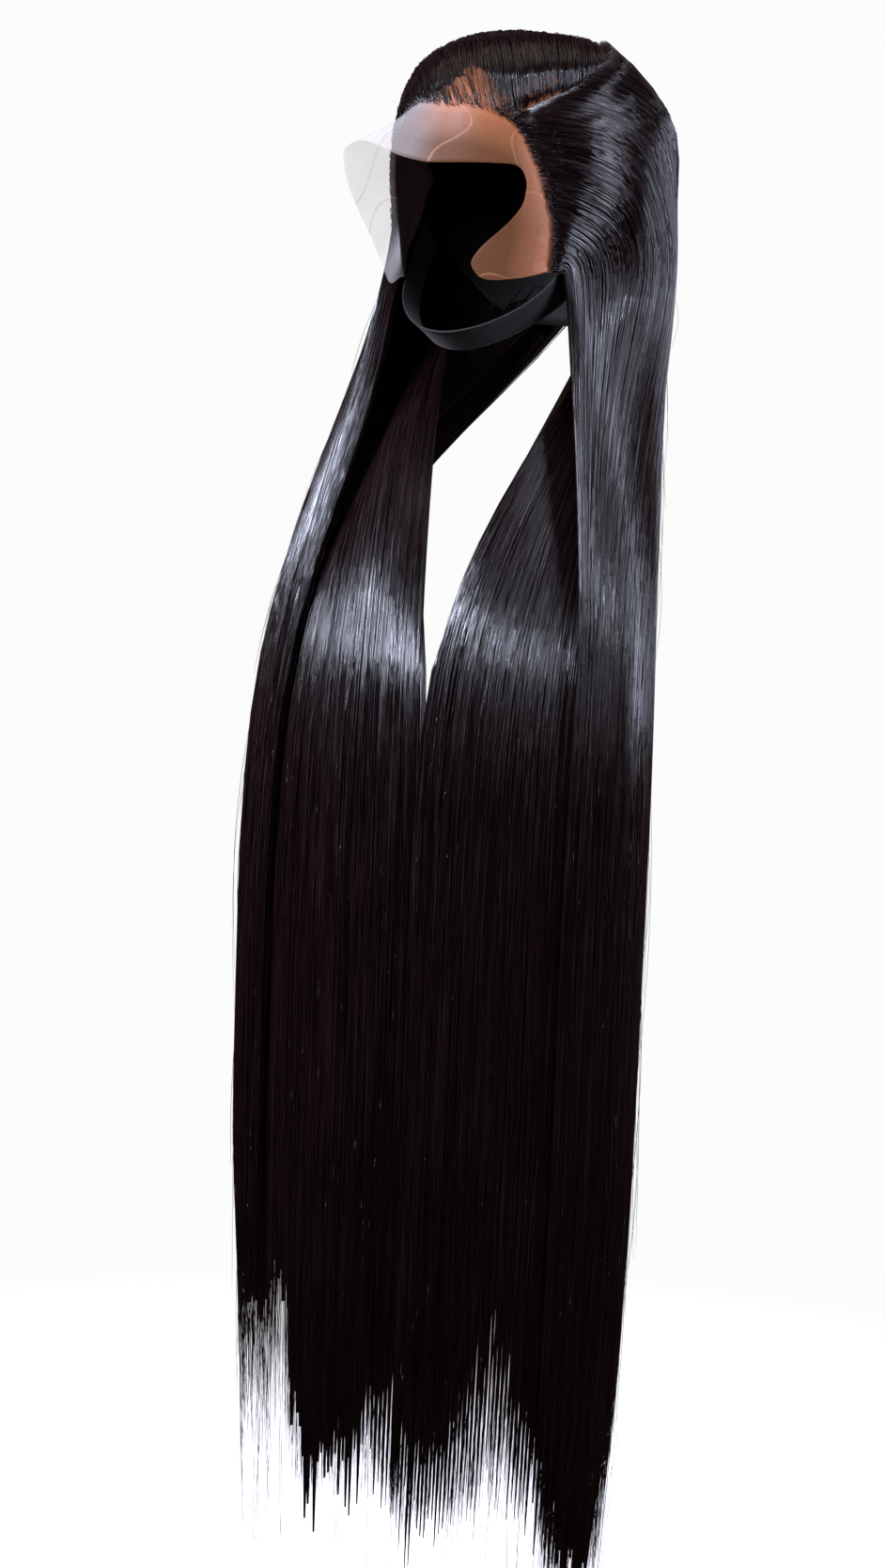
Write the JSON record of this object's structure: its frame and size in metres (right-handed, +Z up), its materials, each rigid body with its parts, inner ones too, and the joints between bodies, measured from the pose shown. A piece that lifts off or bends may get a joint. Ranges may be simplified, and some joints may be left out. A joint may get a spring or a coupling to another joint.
{
  "type": "long straight lace front wig",
  "caption": "Very long straight hair wig with a clear lace front, deep side part and chin strap, its hair brought forward in two layers on each side.",
  "frame": {"origin": "where the top of the wearer's head meets the inside of the cap", "axes": "+Z up, the face looks along -Y, +X towards the wearer's left"},
  "size_m": [0.332, 0.2879, 1.153],
  "materials": {
    "hair": "glossy near-black real hair",
    "lace": "clear fine net",
    "cap_net": "matte stretch net",
    "elastic": "woven elastic"
  },
  "bodies": {
    "root": {"cap": "cap_net", "lace_front": "lace", "chin_strap": "elastic", "hair_left": "hair", "nape_left": "hair", "hair_right": "hair", "nape_right": "hair"}
  },
  "joints": []
}
